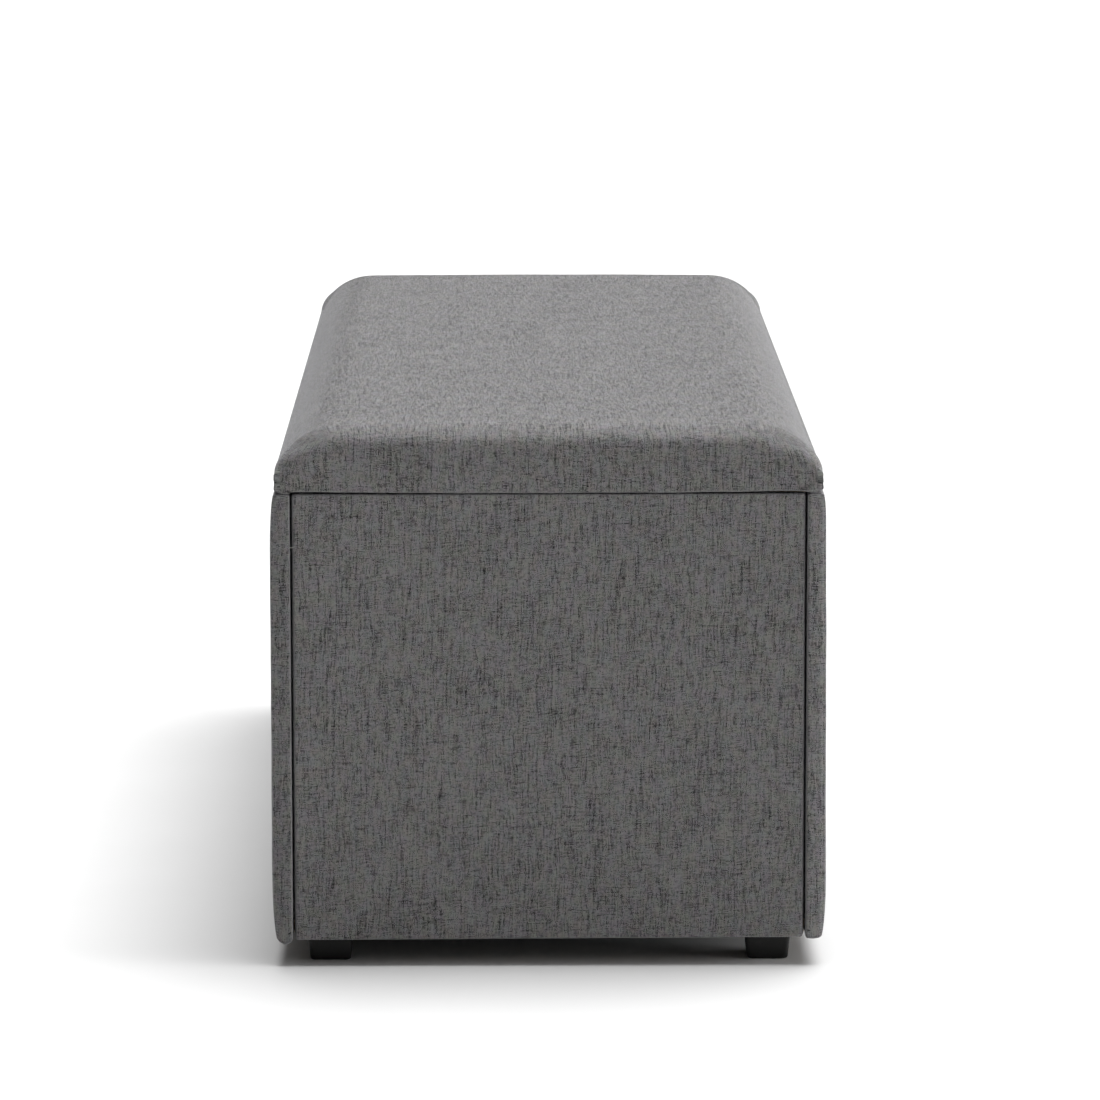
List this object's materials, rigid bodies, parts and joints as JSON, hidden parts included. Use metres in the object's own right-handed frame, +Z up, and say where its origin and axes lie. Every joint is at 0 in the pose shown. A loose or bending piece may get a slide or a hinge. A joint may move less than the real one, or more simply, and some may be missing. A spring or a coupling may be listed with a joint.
{
  "type": "storage bench",
  "caption": "Low upholstered bench whose padded seat is a hinged lid over a fabric-covered storage box, held open by a folding stay at each end.",
  "frame": {"origin": "on the floor, under the middle of the bench", "axes": "+X along the bench's length, -Y towards the front, +Y towards the hinged back, +Z up"},
  "size_m": [1.1, 0.425, 0.4195],
  "materials": {
    "linen_fabric": "matte",
    "foam": "matte",
    "black_lining": "matte",
    "plywood": "satin",
    "pine": "satin",
    "black_plastic": "satin",
    "bumper_rubber": "matte",
    "zinc_steel": "satin",
    "stay_steel": "satin"
  },
  "bodies": {
    "box": {"front_board": "plywood", "back_board": "plywood", "left_end_board": "plywood", "right_end_board": "plywood", "base_board": "plywood", "front_padding": "foam", "back_padding": "foam", "front_cover": "linen_fabric", "back_cover": "linen_fabric", "left_end_cover": "linen_fabric", "right_end_cover": "linen_fabric", "front_left_post": "pine", "front_right_post": "pine", "back_left_post": "pine", "back_right_post": "pine", "front_base_cleat": "pine", "back_base_cleat": "pine", "hinge_rail": "pine", "front_lining": "black_lining", "back_lining": "black_lining", "left_lining": "black_lining", "right_lining": "black_lining", "base_lining": "black_lining", "underside_cover": "black_lining", "front_left_foot": "black_plastic", "front_right_foot": "black_plastic", "back_left_foot": "black_plastic", "back_right_foot": "black_plastic", "foot_screws": "zinc_steel", "corner_bolts": "zinc_steel", "corner_tee_nuts": "zinc_steel", "left_hinge_box_leaf": "stay_steel", "right_hinge_box_leaf": "stay_steel", "hinge_pins": "zinc_steel", "hinge_box_screws": "zinc_steel", "left_stay_box_bracket": "stay_steel", "right_stay_box_bracket": "stay_steel", "stay_box_screws": "zinc_steel", "stay_box_rivets": "zinc_steel", "lid_bumpers": "bumper_rubber"},
    "lid": {"lid_board": "plywood", "lid_foam": "foam", "lid_cover": "linen_fabric", "lid_lining": "black_lining", "lid_staples": "zinc_steel", "left_hinge_lid_leaf": "stay_steel", "right_hinge_lid_leaf": "stay_steel", "hinge_lid_screws": "zinc_steel", "left_stay_lid_bracket": "stay_steel", "right_stay_lid_bracket": "stay_steel", "stay_lid_screws": "zinc_steel", "stay_lid_rivets": "zinc_steel"},
    "left_arm": {"left_stay_arm": "stay_steel", "left_elbow_rivet": "zinc_steel"},
    "right_arm": {"right_stay_arm": "stay_steel", "right_elbow_rivet": "zinc_steel"},
    "left_link": {"left_stay_link": "stay_steel"},
    "right_link": {"right_stay_link": "stay_steel"}
  },
  "joints": [
    {"name": "lid_hinge", "type": "hinge", "parent": "box", "child": "lid", "pos_m": [0, 0.2099, 0.36825], "axis": [-1, 0, 0], "range_deg": [0, 100]},
    {"name": "left_arm_pivot", "type": "hinge", "parent": "box", "child": "left_arm", "pos_m": [-0.5309, 0.1299, 0.30725], "axis": [-1, 0, 0], "range_deg": [0, 100]},
    {"name": "left_link_pivot", "type": "hinge", "parent": "lid", "child": "left_link", "pos_m": [-0.5281, 0.0199, 0.35625], "axis": [-1, 0, 0], "range_deg": [-100, 0]},
    {"name": "right_arm_pivot", "type": "hinge", "parent": "box", "child": "right_arm", "pos_m": [0.5309, 0.1299, 0.30725], "axis": [-1, 0, 0], "range_deg": [0, 100]},
    {"name": "right_link_pivot", "type": "hinge", "parent": "lid", "child": "right_link", "pos_m": [0.5281, 0.0199, 0.35625], "axis": [-1, 0, 0], "range_deg": [-100, 0]}
  ],
  "couplings": [
    {"joint": "left_arm_pivot", "follows": "lid_hinge", "ratio": 1},
    {"joint": "left_link_pivot", "follows": "lid_hinge", "ratio": -1},
    {"joint": "right_arm_pivot", "follows": "lid_hinge", "ratio": 1},
    {"joint": "right_link_pivot", "follows": "lid_hinge", "ratio": -1}
  ]
}
